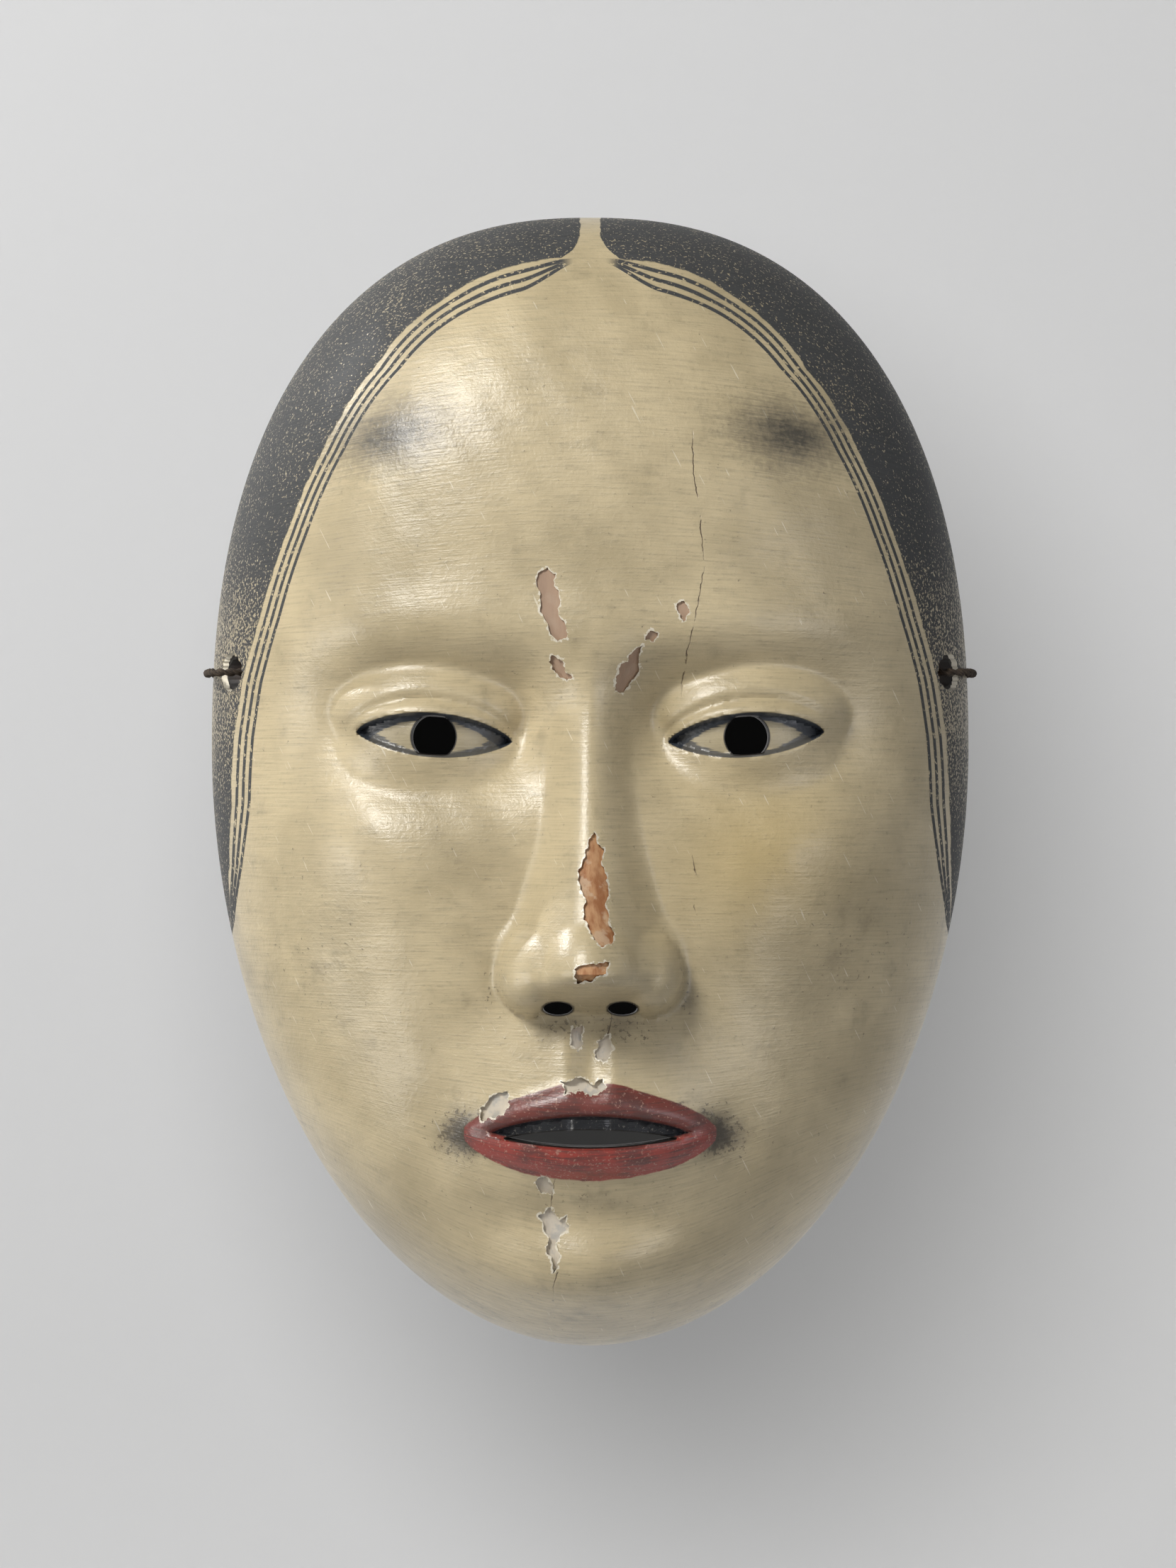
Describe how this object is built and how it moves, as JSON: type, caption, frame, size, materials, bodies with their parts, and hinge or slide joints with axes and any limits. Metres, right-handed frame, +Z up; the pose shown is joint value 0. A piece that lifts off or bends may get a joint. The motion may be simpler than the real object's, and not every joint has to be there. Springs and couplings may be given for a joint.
{
  "type": "noh mask",
  "caption": "Carved wooden face mask with a hollow back, polished flesh-coloured ground coat, painted hair and a thin hanging cord through a hole at each temple",
  "frame": {"origin": "middle of the back rim, in the plane that the rim lies in", "axes": "+Z up from chin to crown, +Y out of the back of the mask, +X to the right seen from the front"},
  "size_m": [0.1436, 0.0694, 0.21],
  "materials": {
    "carved_wood": "hand-carved cypress with a thin dark lacquer inside",
    "ground_coat": "polished shell-white ground, flesh-toned, with painted hair, brows, eyes and lips",
    "cord": "two-ply twisted cord"
  },
  "bodies": {
    "root": {"carved_body": "carved_wood", "face_coat": "ground_coat", "hanging_cord": "cord", "cord_knot_left": "cord", "cord_knot_right": "cord"}
  },
  "joints": []
}
